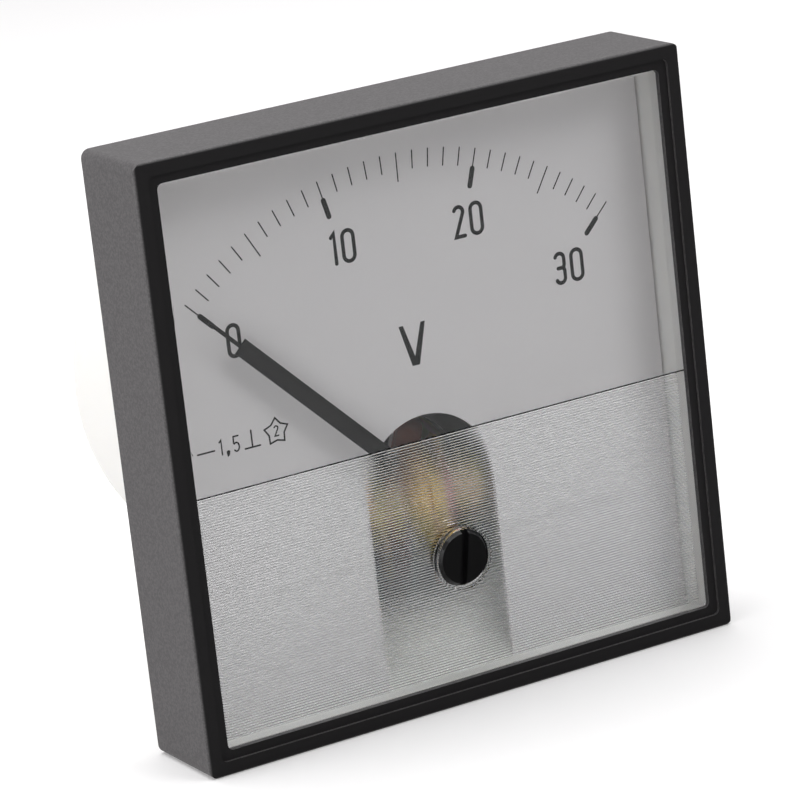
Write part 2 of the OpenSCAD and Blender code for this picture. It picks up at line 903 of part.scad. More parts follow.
module rear_jewel_screw() {
    outer_y = rear_bridge_back_y + nut_t + 0.6;
    color("#b9994e") at_pivot() facing_forward(outer_y)
        jewel_screw(0, outer_y - rear_jewel_y + jewel_t + 0.1, outer_y - rear_jewel_y);
}

module front_jewel() {
    color("#7c3145") at_pivot() cup_jewel(front_jewel_y);
}

module rear_jewel() {
    color("#7c3145") at_pivot() facing_forward(rear_jewel_y) cup_jewel(0);
}

module front_jewel_nut() {
    color("#b9994e") at_pivot()
        hex_nut(bridge_y - nut_t, nut_t, nut_corner_r, jewel_screw_r + slip_gap);
}

module rear_jewel_nut() {
    color("#b9994e") at_pivot()
        hex_nut(rear_bridge_back_y, nut_t, nut_corner_r, jewel_screw_r + slip_gap);
}

module rear_bridge() {
    color("#1f1f20") difference() {
        intersection() {
            union() {
                at_pivot() {
                    disc(rear_bridge_y, rear_bridge_back_y, frame_r);
                    disc(core_back_y, rear_bridge_y + cut / 2, yoke_r - slip_gap, yoke_in_r + 1.5);
                }
                ear(rear_bridge_y, rear_bridge_back_y);
            }
            disc(core_back_y, rear_bridge_back_y, frame_limit_r);
        }
        at_pivot() {
            disc(rear_bridge_y - cut, rear_bridge_back_y + cut, jewel_screw_r + slip_gap);
            turn(tag_place) translate([-tag_w / 2 - slip_gap, rear_bridge_y - cut, tag_r - slip_gap])
                cube([tag_w + 2 * slip_gap, rear_bridge_t + 2 * cut, tag_t + 2 * slip_gap]);
        }
        at_ears() disc(rear_bridge_y - cut, rear_bridge_back_y + cut, screw_r + slip_gap);
    }
}

module rear_spring_tag() {
    color("#b9994e") at_pivot() turn(tag_place) translate([-tag_w / 2, rear_spring_y, tag_r])
        cube([tag_w, rear_bridge_back_y + tag_tail - rear_spring_y, tag_t]);
}

module movement_screws() {
    head_y = ear_y - screw_head_t;
    color("#c3c6c8") at_ears() difference() {
        union() {
            disc(head_y, ear_y, screw_head_r);
            disc(head_y, rear_bridge_back_y + screw_depth - 0.5, screw_r);
        }
        screw_slot(head_y, screw_slot_w, screw_slot_depth, screw_head_r);
    }
}

// ---- wiring and terminals ----

module series_resistor() {
    color("#c8b48a") translate([resistor_x, resistor_y, tag_z]) rotate([0, 90, 0]) {
        cylinder(h = resistor_len - 2, r = resistor_r - 0.15, center = true, $fn = 32);
        for (end = [-1, 1]) translate([0, 0, end * (resistor_len / 2 - 0.6)])
            cylinder(h = 1.2, r = resistor_r, center = true, $fn = 32);
    }
}

module resistor_leads() {
    color("#b9bcbe") {
        wire([
            [resistor_x - resistor_len / 2, resistor_y, tag_z],
            [-terminal_x, resistor_y, tag_z],
            [-terminal_x, resistor_y, -terminal_drop - terminal_r]
        ], lead_r);
        wire([
            [resistor_x + resistor_len / 2, resistor_y, tag_z],
            [tag_x, resistor_y, tag_z],
            [tag_x, rear_bridge_back_y + tag_tail, tag_z]
        ], lead_r);
    }
}

module coil_wire() {
    bridge_mid_y = (bridge_y + bridge_back_y) / 2;
    color("#7d1f1c") wire([
        [terminal_x, end_y - terminal_head_t - terminal_tail, -terminal_drop],
        [terminal_x, bridge_mid_y, -terminal_drop],
        [terminal_x, bridge_mid_y, -pivot_drop],
        [pillar_x + bridge_w / 2, bridge_mid_y, -pivot_drop]
    ], wire_r);
}

module terminal_stud() {
    tip_y = barrel_len + terminal_len;
    disc(end_y - terminal_head_t - terminal_tail, tip_y - stud_tip, terminal_r);
    cone(tip_y - stud_tip, tip_y, terminal_r, terminal_r - stud_tip);
    slab(end_y - terminal_head_t, end_y) circle(hex_r, $fn = 6);
}

module terminal_stud_left() {
    color("#c2a55c") translate([-terminal_x, 0, -terminal_drop]) terminal_stud();
}

module terminal_stud_right() {
    color("#c2a55c") translate([terminal_x, 0, -terminal_drop]) terminal_stud();
}

module terminal_clamp_nuts() {
    color("#c2a55c") at_terminals()
        hex_nut(clamp_nut_y, clamp_nut_t, hex_r, terminal_r + slip_gap);
}

module terminal_washers() {
    color("#c9cbcd") at_terminals() {
        disc(terminal_boss_y, terminal_boss_y + washer_t, washer_r, terminal_r + slip_gap);
        disc(outer_washer_y, outer_washer_y + washer_t, washer_r, terminal_r + slip_gap);
    }
}

module terminal_nuts() {
    color("#c2a55c") at_terminals()
        hex_nut(terminal_nut_y, terminal_nut_t, hex_r, terminal_r + slip_gap);
}

bezel();
front_cover();
zero_screw();
rear_case();
mounting_studs();
dial_plate();
pointer();
balance_weights();
front_spindle();
rear_spindle();
coil_former();
coil_winding();
front_hairspring();
rear_hairspring();
zero_lever();
core_magnet();
core_clamps();
yoke_ring();
movement_frame();
front_bridge();
front_bridge_screws();
front_jewel_screw();
front_jewel();
front_jewel_nut();
rear_bridge();
rear_jewel_screw();
rear_jewel();
rear_jewel_nut();
rear_spring_tag();
movement_screws();
series_resistor();
resistor_leads();
coil_wire();
terminal_stud_left();
terminal_stud_right();
terminal_clamp_nuts();
terminal_washers();
terminal_nuts();
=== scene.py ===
"""Looks of a square analog panel meter with a clear ribbed window and a white case.

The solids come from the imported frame. This script gives them their finishes, prints the
dial and sets up the studio and the camera.
"""

import json
import logging
import math
from dataclasses import dataclass
from enum import Enum
from typing import Iterable, Sequence

import bmesh
import bpy
from mathutils import Matrix, Vector


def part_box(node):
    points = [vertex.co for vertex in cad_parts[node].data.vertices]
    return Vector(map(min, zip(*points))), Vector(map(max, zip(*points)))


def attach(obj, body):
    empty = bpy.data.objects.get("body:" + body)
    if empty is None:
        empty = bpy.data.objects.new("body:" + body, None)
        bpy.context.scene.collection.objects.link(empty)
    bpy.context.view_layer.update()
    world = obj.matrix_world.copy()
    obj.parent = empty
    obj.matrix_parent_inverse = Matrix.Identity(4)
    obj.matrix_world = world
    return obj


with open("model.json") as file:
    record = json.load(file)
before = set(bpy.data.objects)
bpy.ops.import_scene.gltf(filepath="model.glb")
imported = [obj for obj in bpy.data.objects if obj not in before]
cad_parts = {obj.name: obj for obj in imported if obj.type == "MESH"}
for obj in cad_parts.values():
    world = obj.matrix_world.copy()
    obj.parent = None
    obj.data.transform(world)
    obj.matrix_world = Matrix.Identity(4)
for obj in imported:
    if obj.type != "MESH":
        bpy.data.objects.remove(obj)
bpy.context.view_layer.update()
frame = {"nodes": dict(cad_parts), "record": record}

MM = 0.001
# Sockets of the Mix node that serve colours
MIX_FACTOR, MIX_A, MIX_B, MIX_RESULT = 0, 6, 7, 2
Point = tuple[float, float]
Colour = tuple[float, float, float, float]

logging.basicConfig(level=logging.INFO, format="%(levelname)s %(message)s")
log = logging.getLogger("panel_meter")


# ---------------------------------------------------------------- measures


def span_mm(node: str) -> tuple[Vector, Vector]:
    """Find the box of a CAD node in millimetres.

    Args:
        node: Name of the CAD node.

    Returns:
        The lowest and the highest corner.
    """
    low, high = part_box(node)
    return low / MM, high / MM


def srgb(code: str) -> Colour:
    """Turn a hex colour, as seen on a screen, into a linear one.

    Args:
        code: Colour such as "#a0a0a0".

    Returns:
        Linear red, green, blue and an alpha of 1.
    """
    channels = [int(code[i : i + 2], 16) / 255 for i in (1, 3, 5)]
    linear = [c / 12.92 if c <= 0.04045 else ((c + 0.055) / 1.055) ** 2.4 for c in channels]
    return (linear[0], linear[1], linear[2], 1.0)


# ---------------------------------------------------------------- node graphs


class Graph:
    """Small helper that adds and links shader nodes of one material or world."""

    def __init__(self, tree: bpy.types.NodeTree) -> None:
        """Start from an empty tree.

        Args:
            tree: Node tree that is filled.
        """
        self.tree = tree
        tree.nodes.clear()

    def add(self, kind: str, **settings: object) -> bpy.types.Node:
        """Add a node and set its properties and its inputs.

        Args:
            kind: Blender's identifier of the node.
            **settings: Properties by name. Inputs are given as in_Name or in_0.

        Returns:
            The new node.
        """
        node = self.tree.nodes.new(kind)
        for key, value in settings.items():
            if not key.startswith("in_"):
                setattr(node, key, value)
                continue
            name = key[3:].replace("_", " ")
            socket = node.inputs[int(name)] if name.isdigit() else node.inputs[name]
            if isinstance(value, bpy.types.NodeSocket):
                self.tree.links.new(value, socket)
            else:
                socket.default_value = value
        return node

    def place(self, scale: Sequence[float] = (1.0, 1.0, 1.0)) -> bpy.types.NodeSocket:
        """Object coordinates in millimetres, stretched by a scale.

        Args:
            scale: Factor along each axis.

        Returns:
            The vector socket.
        """
        where = self.add("ShaderNodeTexCoord")
        to_mm = tuple(s / MM for s in scale)
        mapped = self.add("ShaderNodeMapping", in_Vector=where.outputs["Object"], in_Scale=to_mm)
        return mapped.outputs["Vector"]

    def noise(self, size_mm: float, detail: float = 2.0, stretch: Sequence[float] = (1, 1, 1),
              roughness: float = 0.5) -> bpy.types.NodeSocket:
        """Noise whose features have a size in millimetres.

        Args:
            size_mm: Size of the features.
            detail: Number of octaves.
            stretch: Factor on the frequency along each axis.
            roughness: Share of the finer octaves.

        Returns:
            The noise factor's socket.
        """
        node = self.add("ShaderNodeTexNoise", in_Vector=self.place(stretch), in_Scale=1 / size_mm,
                        in_Detail=detail, in_Roughness=roughness)
        return node.outputs["Fac"]

    def remap(self, value: bpy.types.NodeSocket, from_min: float, from_max: float,
              to_min: float, to_max: float) -> bpy.types.NodeSocket:
        """Map a value from one span to another and keep it inside.

        Args:
            value: Socket with the value.
            from_min: Low end of the first span.
            from_max: High end of the first span.
            to_min: Result at the low end.
            to_max: Result at the high end.

        Returns:
            The result's socket.
        """
        node = self.add("ShaderNodeMapRange", in_Value=value, in_From_Min=from_min,
                        in_From_Max=from_max, in_To_Min=to_min, in_To_Max=to_max)
        return node.outputs["Result"]

    def math(self, operation: str, a: object, b: object = 0.0) -> bpy.types.NodeSocket:
        """Calculate with one or two values.

        Args:
            operation: Blender's name of the operation.
            a: First value or socket.
            b: Second value or socket.

        Returns:
            The result's socket.
        """
        return self.add("ShaderNodeMath", operation=operation, in_0=a, in_1=b).outputs[0]

    def mix(self, factor: object, a: object, b: object) -> bpy.types.NodeSocket:
        """Mix two colours.

        Args:
            factor: Share of the second colour.
            a: First colour or socket.
            b: Second colour or socket.

        Returns:
            The colour's socket.
        """
        node = self.add("ShaderNodeMix", data_type="RGBA")
        for index, value in ((MIX_FACTOR, factor), (MIX_A, a), (MIX_B, b)):
            if isinstance(value, bpy.types.NodeSocket):
                self.tree.links.new(value, node.inputs[index])
            else:
                node.inputs[index].default_value = value
        return node.outputs[MIX_RESULT]

    def bump(self, height: bpy.types.NodeSocket, depth_mm: float,
             strength: float = 1.0) -> bpy.types.NodeSocket:
        """Turn a height into a normal.

        Args:
            height: Height from 0 to 1.
            depth_mm: Real depth of the relief.
            strength: Share of the effect.

        Returns:
            The normal's socket.
        """
        node = self.add("ShaderNodeBump", in_Height=height, in_Distance=depth_mm * MM,
                        in_Strength=strength)
        return node.outputs["Normal"]


# ---------------------------------------------------------------- finishes


class Slot(Enum):
    """Material slots of the record."""

    BLACK_CASE = "black_case"
    CLEAR_WINDOW = "clear_window"
    WHITE_CASE = "white_case"
    BLACK_SCREW = "black_screw"
    DIAL_PAINT = "dial_paint"
    POINTER_PAINT = "pointer_paint"
    BRASS = "brass"
    STEEL = "steel"
    ALUMINIUM_FOIL = "aluminium_foil"
    COPPER_WIRE = "copper_wire"
    BRONZE_STRIP = "bronze_strip"
    YELLOW_PLATE = "yellow_plate"
    MAGNET = "magnet"
    ZINC = "zinc"
    BLACK_FRAME = "black_frame"
    JEWEL = "jewel"
    RESISTOR_BODY = "resistor_body"
    WIRE_SLEEVE = "wire_sleeve"


@dataclass(frozen=True)
class Finish:
    """Base of every finish: one Principled surface with small variations."""

    slot: Slot
    base: str
    roughness: float = 0.4
    metallic: float = 0.0
    specular: float = 0.5
    wear_mm: float = 2.5
    wear_share: float = 0.12

    def new_material(self) -> tuple[bpy.types.Material, Graph]:
        """Make an empty material.

        Returns:
            The material and the helper for its nodes.
        """
        material = bpy.data.materials.new(self.slot.value)
        material.use_nodes = True
        return material, Graph(material.node_tree)

    def principled(self, graph: Graph) -> bpy.types.Node:
        """Add the Principled node with this finish's constants.

        Args:
            graph: Helper for the material's nodes.

        Returns:
            The Principled node, linked to the output.
        """
        shader = graph.add("ShaderNodeBsdfPrincipled", in_Base_Color=srgb(self.base),
                           in_Roughness=self.roughness, in_Metallic=self.metallic)
        shader.inputs["Specular IOR Level"].default_value = self.specular
        graph.add("ShaderNodeOutputMaterial", in_Surface=shader.outputs["BSDF"])
        return shader

    def build(self) -> bpy.types.Material:
        """Build the material.

        Returns:
            The finished material.
        """
        material, graph = self.new_material()
        shader = self.principled(graph)
        smooth = self.roughness * (1 - self.wear_share)
        dull = min(1.0, self.roughness * (1 + self.wear_share))
        rough = graph.remap(graph.noise(self.wear_mm, 3.0), 0.3, 0.7, smooth, dull)
        graph.tree.links.new(rough, shader.inputs["Roughness"])
        return material


@dataclass(frozen=True)
class MouldedBlack(Finish):
    """Black moulded thermoplastic: smooth in front and spark-eroded on the sides, which are painted
    lighter as sheen from the lamps.
    """

    # Side greys are painted sheen of the lamps on the grained sides; their two tones follow the
    # grain
    side: str = "#5b595a"
    side_sheen_dark: str = "#474546"
    side_roughness: float = 0.47
    side_specular: float = 0.6
    grain_mm: float = 0.28
    grain_depth_mm: float = 0.03
    front_grain: float = 0.12

    def build(self) -> bpy.types.Material:
        """Build the material, with the front told from the sides by the surface's direction and the
        sides painted lighter as sheen.

        Returns:
            The finished material.
        """
        material, graph = self.new_material()
        shader = self.principled(graph)
        normal = graph.add("ShaderNodeNewGeometry").outputs["True Normal"]
        facing = graph.add("ShaderNodeSeparateXYZ", in_Vector=normal).outputs["Y"]
        front = graph.remap(facing, -0.95, -0.6, 1.0, 0.0)
        grain = graph.noise(self.grain_mm, 3.0, roughness=0.65)
        peaks = graph.remap(grain, 0.42, 0.62, 0.0, 1.0)
        colour = graph.mix(peaks, srgb(self.side_sheen_dark), srgb(self.side))
        relief = graph.math("MULTIPLY", grain, graph.remap(front, 0.0, 1.0, 1.0, self.front_grain))
        linked = {
            # Painted sheen: the sides take the lighter grained grey, the front keeps the black base
            "Base Color": graph.mix(front, colour, srgb(self.base)),
            "Roughness": graph.remap(front, 0.0, 1.0, self.side_roughness, self.roughness),
            "Specular IOR Level": graph.remap(front, 0.0, 1.0, self.side_specular, self.specular),
            "Normal": graph.bump(relief, self.grain_depth_mm, 0.6),
        }
        for name, value in linked.items():
            graph.tree.links.new(value, shader.inputs[name])
        return material


@dataclass(frozen=True)
class ClearPlastic(Finish):
    """Clear moulded polystyrene, which lets the lamps through to the dial."""

    ior: float = 1.49
    open_tint: Colour = (0.93, 0.935, 0.94, 1.0)

    def build(self) -> bpy.types.Material:
        """Build the material, which is plain transparent for rays from the lamps.

        Returns:
            The finished material.
        """
        material, graph = self.new_material()
        shader = graph.add("ShaderNodeBsdfPrincipled", in_Base_Color=srgb(self.base),
                           in_Roughness=self.roughness, in_IOR=self.ior)
        shader.inputs["Transmission Weight"].default_value = 1.0
        open_way = graph.add("ShaderNodeBsdfTransparent", in_Color=self.open_tint)
        path = graph.add("ShaderNodeLightPath")
        mixed = graph.add("ShaderNodeMixShader", in_0=path.outputs["Is Shadow Ray"],
                          in_1=shader.outputs["BSDF"], in_2=open_way.outputs["BSDF"])
        graph.add("ShaderNodeOutputMaterial", in_Surface=mixed.outputs["Shader"])
        return material


@dataclass(frozen=True)
class Translucent(Finish):
    """Pale moulded thermoplastic with a little light inside it."""

    depth_mm: float = 0.8
    scatter: float = 0.25
    scatter_radius: tuple[float, float, float] = (1.0, 0.95, 0.85)

    def build(self) -> bpy.types.Material:
        """Build the material.

        Returns:
            The finished material.
        """
        material, graph = self.new_material()
        shader = self.principled(graph)
        shader.inputs["Subsurface Weight"].default_value = self.scatter
        shader.inputs["Subsurface Radius"].default_value = self.scatter_radius
        shader.inputs["Subsurface Scale"].default_value = self.depth_mm * MM
        graph.tree.links.new(graph.bump(graph.noise(0.5, 2.0), 0.004, 0.4), shader.inputs["Normal"])
        return material


@dataclass(frozen=True)
class YellowPlated(Finish):
    """Yellow-passivated zinc plate, with thin-film tints of green and pink."""

    green: str = "#b9ad6a"
    pink: str = "#cf9f95"
    cloud_mm: float = 2.2

    def build(self) -> bpy.types.Material:
        """Build the material.

        Returns:
            The finished material.
        """
        material, graph = self.new_material()
        shader = self.principled(graph)
        cloud = graph.noise(self.cloud_mm, 2.0)
        tint = graph.mix(graph.remap(cloud, 0.4, 0.5, 0.0, 1.0), srgb(self.green), srgb(self.base))
        tint = graph.mix(graph.remap(cloud, 0.52, 0.62, 0.0, 1.0), tint, srgb(self.pink))
        graph.tree.links.new(tint, shader.inputs["Base Color"])
        return material


@dataclass(frozen=True)
class WoundWire(Finish):
    """Enamelled wire in close turns, which run along the coil, with painted shade in the creases
    between turns.
    """

    pitch_mm: float = 0.16
    # Painted shade in the creases between turns
    groove_shade: str = "#3b150c"
    lean_deg: float = 20.0

    def build(self) -> bpy.types.Material:
        """Build the material.

        Returns:
            The finished material.
        """
        material, graph = self.new_material()
        shader = self.principled(graph)
        lean = math.radians(self.lean_deg)
        along = graph.add("ShaderNodeVectorMath", operation="DOT_PRODUCT", in_0=graph.place(),
                          in_1=(math.cos(lean), 0.0, -math.sin(lean))).outputs["Value"]
        phase = graph.math("MULTIPLY", along, 2 * math.pi / self.pitch_mm)
        turns = graph.remap(graph.math("SINE", phase), -1.0, 1.0, 0.0, 1.0)
        # Painted shade: darker colour in the troughs between turns
        colour = graph.mix(turns, srgb(self.groove_shade), srgb(self.base))
        graph.tree.links.new(colour, shader.inputs["Base Color"])
        graph.tree.links.new(graph.bump(turns, 0.05), shader.inputs["Normal"])
        return material


@dataclass(frozen=True)
class Metal(Finish):
    """Plain metal with the fine lines of turning or rolling."""

    line_mm: float = 0.05
    line_share: float = 0.25

    def build(self) -> bpy.types.Material:
        """Build the material.

        Returns:
            The finished material.
        """
        material, graph = self.new_material()
        shader = self.principled(graph)
        lines = graph.noise(self.line_mm, 2.0, (1.0, 0.15, 1.0))
        bright = self.roughness * (1 - self.line_share)
        rough = graph.remap(lines, 0.3, 0.7, bright, self.roughness * (1 + self.line_share))
        graph.tree.links.new(rough, shader.inputs["Roughness"])
        graph.tree.links.new(graph.bump(lines, 0.002, 0.5), shader.inputs["Normal"])
        return material


# Real materials, by the slot of the record
FINISHES: tuple[Finish, ...] = (
    MouldedBlack(Slot.BLACK_CASE, "#262526", roughness=0.38, specular=0.25),  # black ABS frame
    ClearPlastic(Slot.CLEAR_WINDOW, "#fcfdfd", roughness=0.015),  # clear polystyrene
    Translucent(Slot.WHITE_CASE, "#f3f2ef", roughness=0.42),  # white polypropylene
    Finish(Slot.BLACK_SCREW, "#121213", roughness=0.3),  # black nylon
    Finish(Slot.DIAL_PAINT, "#e3e0e1", roughness=0.6, specular=0.3),  # white enamel on aluminium
    Finish(Slot.POINTER_PAINT, "#0e0e0f", roughness=0.75, specular=0.06),  # matt black enamel
    Metal(Slot.BRASS, "#d9b873", roughness=0.32, metallic=1.0),  # turned brass
    Metal(Slot.STEEL, "#c9cccf", roughness=0.28, metallic=1.0),  # zinc-plated steel
    Metal(Slot.ALUMINIUM_FOIL, "#d6d8da", roughness=0.35, metallic=1.0),  # aluminium sheet
    WoundWire(Slot.COPPER_WIRE, "#8f4227", roughness=0.3, metallic=0.3),  # enamelled copper
    Metal(Slot.BRONZE_STRIP, "#c98a55", roughness=0.3, metallic=1.0),  # phosphor bronze
    YellowPlated(Slot.YELLOW_PLATE, "#c3b183", roughness=0.36, metallic=0.85),  # chromated zinc
    Metal(Slot.MAGNET, "#77797b", roughness=0.4, metallic=0.9),  # sintered magnet
    Metal(Slot.ZINC, "#a3a5a8", roughness=0.45, metallic=1.0),  # zinc die-casting
    Finish(Slot.BLACK_FRAME, "#171718", roughness=0.5, specular=0.4),  # black polyamide
    Finish(Slot.JEWEL, "#8e1f3c", roughness=0.08, specular=0.8),  # synthetic ruby
    Finish(Slot.RESISTOR_BODY, "#c9ad7c", roughness=0.35),  # lacquered resistor
    Finish(Slot.WIRE_SLEEVE, "#8c1d18", roughness=0.4),  # red insulation
)


# ---------------------------------------------------------------- flat print


class Cap(Enum):
    """Ends of a printed stroke."""

    ROUND = "round"
    BUTT = "butt"


def arc(centre: Point, radius: Point, start: float, end: float, steps: int = 14) -> list[Point]:
    """Points along part of an ellipse.

    Args:
        centre: Middle of the ellipse.
        radius: Radius across and upward.
        start: First angle in degrees, from the right, growing to the left over the top.
        end: Last angle in degrees.
        steps: Number of steps.

    Returns:
        The points.
    """
    turns = [math.radians(start + (end - start) * i / steps) for i in range(steps + 1)]
    (x, z), (across, up) = centre, radius
    return [(x + across * math.cos(t), z + up * math.sin(t)) for t in turns]


@dataclass(frozen=True)
class Stroke:
    """Line of ink along a path, in millimetres on the dial."""

    path: tuple[Point, ...]
    width: float
    closed: bool = False
    cap: Cap = Cap.ROUND

    def edge_points(self) -> list[tuple[Point, Point]]:
        """Offset the path to both sides, with mitred corners.

        Returns:
            A pair of points for each point of the path.
        """
        points, count, half = self.path, len(self.path), self.width / 2
        pairs = []
        for i, (x, z) in enumerate(points):
            before = points[i - 1] if i or self.closed else None
            after = points[(i + 1) % count] if i + 1 < count or self.closed else None
            ways = []
            for a, b in ((before, (x, z)), ((x, z), after)):
                if a is None or b is None:
                    continue
                length = math.dist(a, b)
                ways.append(((b[0] - a[0]) / length, (b[1] - a[1]) / length))
            way = Vector((sum(w[0] for w in ways), sum(w[1] for w in ways))).normalized()
            side = Vector((-way.y, way.x))
            first = Vector((-ways[0][1], ways[0][0]))
            reach = min(half / max(side.dot(first), 0.4), 2 * half)
            pairs.append(((x + side.x * reach, z + side.y * reach),
                          (x - side.x * reach, z - side.y * reach)))
        return pairs

    def outlines(self) -> list[list[Point]]:
        """Cut the stroke into convex outlines that share edges.

        Returns:
            One outline for each step of the path and for each round end.
        """
        pairs = self.edge_points()
        if self.closed:
            pairs.append(pairs[0])
        shapes = [[a[0], b[0], b[1], a[1]] for a, b in zip(pairs, pairs[1:])]
        if self.closed or self.cap is Cap.BUTT:
            return shapes
        for pair, centre in ((pairs[0], self.path[0]), (pairs[-1][::-1], self.path[-1])):
            start = math.degrees(math.atan2(pair[0][1] - centre[1], pair[0][0] - centre[0]))
            half = self.width / 2
            shapes.append(arc(centre, (half, half), start, start + 180, 8))
        return shapes


@dataclass(frozen=True)
class Patch:
    """Filled outline of ink, in millimetres on the dial."""

    points: tuple[Point, ...]

    def outlines(self) -> list[list[Point]]:
        """Give the outline as it is.

        Returns:
            A list with the one outline.
        """
        return [list(self.points)]


Ink = Stroke | Patch


@dataclass(frozen=True)
class Numeral:
    """Narrow rounded numeral, drawn about its own middle."""

    half_w: float
    half_h: float
    width: float

    def zero(self, x: float, z: float) -> list[Ink]:
        """Draw a 0.

        Args:
            x: Middle of the numeral.
            z: Middle of the numeral.

        Returns:
            The strokes.
        """
        w, h = self.half_w * 1.2, self.half_h
        path = arc((x, z + h - w), (w, w), 0, 180) + arc((x, z - h + w), (w, w), 180, 360)
        return [Stroke(tuple(path), self.width, closed=True)]

    def one(self, x: float, z: float) -> list[Ink]:
        """Draw a 1 with its stem at x.

        Args:
            x: Place of the stem.
            z: Middle of the numeral.

        Returns:
            The strokes.
        """
        h, w = self.half_h * 0.98, self.half_w
        return [Stroke(((x - 0.68 * w, z + h - 0.75 * w), (x, z + h), (x, z - h)), self.width)]

    def two(self, x: float, z: float) -> list[Ink]:
        """Draw a 2.

        Args:
            x: Middle of the numeral.
            z: Middle of the numeral.

        Returns:
            The strokes.
        """
        w, h = self.half_w, self.half_h * 0.97
        path = arc((x, z + h - w), (w, w), 158, -24)
        path += [(x - 0.97 * w, z - h), (x + 1.03 * w, z - h)]
        return [Stroke(tuple(path), self.width)]

    def three(self, x: float, z: float) -> list[Ink]:
        """Draw a 3.

        Args:
            x: Middle of the numeral.
            z: Middle of the numeral.

        Returns:
            The strokes.
        """
        w, h, r = self.half_w, self.half_h * 0.98, self.half_w * 0.66
        top = arc((x, z + h - w), (w, w), 158, 0)
        top += arc((x + w - r, z + 0.02 + r), (r, r), 0, -90, 8) + [(x - 0.45 * w, z + 0.02)]
        low = arc((x + w - r, z + 0.02 - r), (r, r), 90, 0, 8)
        low += arc((x, z - h + w), (w, w), 0, -158)
        return [Stroke(tuple(top), self.width), Stroke(tuple(low), self.width)]

    def five(self, x: float, z: float) -> list[Ink]:
        """Draw a 5.

        Args:
            x: Middle of the numeral.
            z: Middle of the numeral.

        Returns:
            The strokes.
        """
        w, h = self.half_w, self.half_h
        path = [(x + 0.92 * w, z + h), (x - 0.9 * w, z + h), (x - w, z + 0.14 * h)]
        path += arc((x - 0.05 * w, z - 0.42 * h), (1.05 * w, 0.58 * h), 128, -140)
        return [Stroke(tuple(path), self.width)]


class DialPrint:
    """Black print on the dial: the scale, its numerals, the unit and the legend."""

    CENTRE: Point = (-0.41, -11.14)
    THICKNESS = 0.02
    DIVISIONS = 30
    ZERO_DEG = -44.74
    STEP_DEG = 3.049
    EVEN_UP_TO = 20
    CROWDING = 0.021
    MARK_OUTER_R = 40.32
    MARK_W = 0.15
    BAR_R = (37.9, 35.87)
    BAR_W = 0.64
    FINE_W = 0.2
    DIGITS = ((0, -23.23, 12.09), (1, -8.94, 19.76), (0, -7.17, 19.76), (2, 7.69, 19.38),
              (0, 10.02, 19.38), (3, 20.65, 10.96), (0, 22.99, 10.96))
    STAR: Point = (-19.255, 0.41)
    STAR_R = (1.6, 1.04)

    def on_scale(self, value: float, radius: float) -> Point:
        """Find a point on the scale, whose last third is slightly crowded.

        Args:
            value: Reading, from 0 to 30.
            radius: Distance from the scale's centre.

        Returns:
            The point on the dial.
        """
        crowd = self.CROWDING * max(0.0, value - self.EVEN_UP_TO) ** 2
        turn = math.radians(self.ZERO_DEG + value * self.STEP_DEG - crowd)
        return (self.CENTRE[0] + radius * math.sin(turn), self.CENTRE[1] + radius * math.cos(turn))

    def scale(self) -> Iterable[Ink]:
        """Draw the division marks.

        Yields:
            One stroke for each mark, and a broad bar for each tenth.
        """
        for value in range(self.DIVISIONS + 1):
            inner = 38.0 if value % 10 == 0 else 36.88 if value % 5 == 0 else 38.12
            ends = (self.on_scale(value, self.MARK_OUTER_R), self.on_scale(value, inner))
            yield Stroke(ends, self.MARK_W, cap=Cap.BUTT)
            if value % 10 == 0:
                yield Stroke(tuple(self.on_scale(value, r) for r in self.BAR_R), self.BAR_W)

    def numerals(self) -> Iterable[Ink]:
        """Draw the numerals at each tenth.

        Yields:
            The strokes.
        """
        big = Numeral(0.6, 1.82, 0.46)
        draw = (big.zero, big.one, big.two, big.three)
        for digit, x, z in self.DIGITS:
            yield from draw[digit](x, z)

    def unit(self) -> Iterable[Ink]:
        """Draw the V of the unit.

        Yields:
            Its two legs.
        """
        crotch, point = (-0.1, 4.95), (-0.1, 3.86)
        yield Patch(((-1.88, 8.85), (-1.29, 8.85), crotch, point, (-0.57, 3.86))[::-1])
        yield Patch(((1.68, 8.85), (1.09, 8.85), crotch, point, (0.41, 3.86)))

    def legend(self) -> Iterable[Ink]:
        """Draw the class, the upright position and the test voltage.

        Yields:
            The strokes.
        """
        small = Numeral(0.34, 0.89, 0.19)
        yield Stroke(((-29.55, 0.02), (-27.38, 0.02)), 0.19)
        yield from small.one(-26.43, 0.2)
        dot = arc((-25.62, -0.55), (0.25, 0.22), 20, 190, 8)
        yield Patch(tuple(dot + [(-25.76, -1.12), (-25.5, -0.9)]))
        yield from small.five(-24.52, 0.2)
        yield Stroke(((-22.5, 1.3), (-22.5, -0.7)), self.FINE_W)
        yield Stroke(((-23.46, -0.7), (-21.5, -0.7)), self.FINE_W)
        x, z = self.STAR
        star = []
        for corner in range(10):
            reach, turn = self.STAR_R[corner % 2], math.radians(36 * corner)
            star.append((x + reach * math.sin(turn), z + reach * math.cos(turn)))
        yield Stroke(tuple(star), self.FINE_W, closed=True)
        yield from Numeral(0.24, 0.6, 0.17).two(x, z + 0.05)

    def build(self) -> bpy.types.Object:
        """Make the print as one thin relief on the dial's face.

        Returns:
            The finished object.
        """
        face_y = span_mm("dial_plate")[0].y
        mesh = bmesh.new()
        for ink in (*self.scale(), *self.numerals(), *self.unit(), *self.legend()):
            for outline in ink.outlines():
                corners = [mesh.verts.new((x * MM, (face_y - self.THICKNESS) * MM, z * MM))
                           for x, z in outline]
                mesh.faces.new(corners)
        bmesh.ops.remove_doubles(mesh, verts=mesh.verts, dist=1e-7)
        for face in mesh.faces:
            face.normal_update()
            if face.normal.y > 0:
                face.normal_flip()
        made = bmesh.ops.extrude_face_region(mesh, geom=mesh.faces[:])["geom"]
        back = [item for item in made if isinstance(item, bmesh.types.BMVert)]
        bmesh.ops.translate(mesh, verts=back, vec=(0, self.THICKNESS * MM, 0))
        return as_object(mesh, "dial_print")


# ---------------------------------------------------------------- objects


